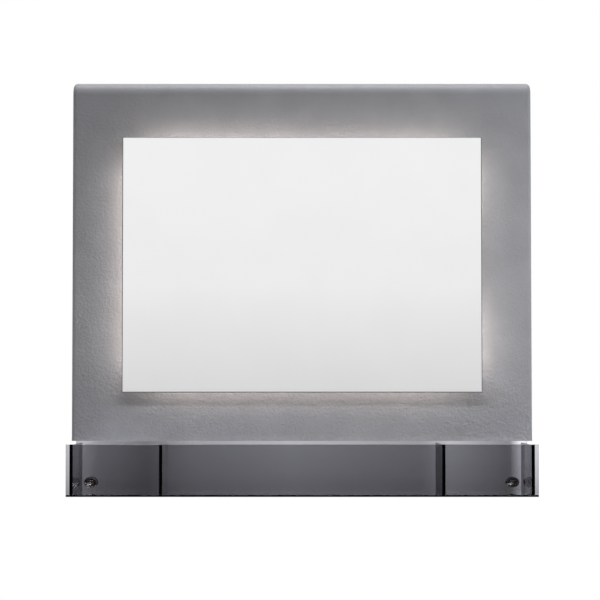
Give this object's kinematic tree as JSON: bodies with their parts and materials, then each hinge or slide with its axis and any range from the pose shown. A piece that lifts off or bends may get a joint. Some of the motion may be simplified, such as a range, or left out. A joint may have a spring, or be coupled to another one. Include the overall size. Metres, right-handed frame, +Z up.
{
  "type": "backlit wall mirror with shelf",
  "caption": "Backlit frameless mirror standing off a grey moulded wall panel, with an open smoked acrylic shelf trough with dividers below it.",
  "frame": {"origin": "on the wall plane, midway between the round entries of the two hanging keyholes", "axes": "+X to the viewer's right, +Y into the wall, +Z up; the mirror faces -Y"},
  "size_m": [0.557, 0.101, 0.501],
  "materials": {
    "grey_abs": "fine moulded grain",
    "white_enamel": "stoved enamel",
    "zinc_steel": "zinc plated",
    "silvered_glass": "silvered, ground edge",
    "smoked_acrylic": "clear polished",
    "dark_cap": "polished",
    "opal_glass": "opal",
    "bakelite": "moulded",
    "brass": "plain",
    "rubber": "matt",
    "foam": "closed-cell foam",
    "brown_pvc": "soft insulation",
    "blue_pvc": "soft insulation",
    "white_pvc": "soft insulation",
    "green_pvc": "soft insulation"
  },
  "bodies": {
    "wall_unit": {"block_screws": "zinc_steel", "bracket_screws": "zinc_steel", "cable_grommet": "rubber", "cable_plate": "zinc_steel", "cable_plate_screws": "zinc_steel", "cap_washers": "rubber", "earth_lead": "green_pvc", "earth_screw": "zinc_steel", "earth_tag": "brass", "front_panel": "grey_abs", "hanger_rivets": "zinc_steel", "holder_nuts": "bakelite", "jumper_leads": "white_pvc", "lamp_tray": "white_enamel", "left_hanger": "zinc_steel", "left_lamp_bracket": "zinc_steel", "left_screw_cap": "dark_cap", "live_leads": "brown_pvc", "lower_left_lamp_cap": "brass", "lower_left_lamp_glass": "opal_glass", "lower_left_lampholder": "bakelite", "lower_left_post": "zinc_steel", "lower_right_lamp_cap": "brass", "lower_right_lamp_glass": "opal_glass", "lower_right_lampholder": "bakelite", "lower_right_post": "zinc_steel", "neutral_leads": "blue_pvc", "post_nuts": "zinc_steel", "right_hanger": "zinc_steel", "right_lamp_bracket": "zinc_steel", "right_screw_cap": "dark_cap", "shelf_back": "smoked_acrylic", "shelf_bottom": "smoked_acrylic", "shelf_front": "smoked_acrylic", "shelf_left_divider": "smoked_acrylic", "shelf_left_end": "smoked_acrylic", "shelf_right_divider": "smoked_acrylic", "shelf_right_end": "smoked_acrylic", "shelf_screws": "zinc_steel", "terminal_block": "bakelite", "terminal_screws": "brass", "tray_screws": "zinc_steel", "upper_left_lamp_cap": "brass", "upper_left_lamp_glass": "opal_glass", "upper_left_lampholder": "bakelite", "upper_left_post": "zinc_steel", "upper_right_lamp_cap": "brass", "upper_right_lamp_glass": "opal_glass", "upper_right_lampholder": "bakelite", "upper_right_post": "zinc_steel", "wall_spacers": "rubber"},
    "mirror": {"mirror_glass": "silvered_glass", "mirror_backing": "white_enamel", "mirror_pad_1": "foam", "mirror_pad_2": "foam", "mirror_pad_3": "foam", "mirror_pad_4": "foam"}
  },
  "joints": [
    {"name": "mirror_lift", "type": "slide", "parent": "wall_unit", "child": "mirror", "axis": [0, 0, 1], "range_m": [0, 0.012]}
  ]
}
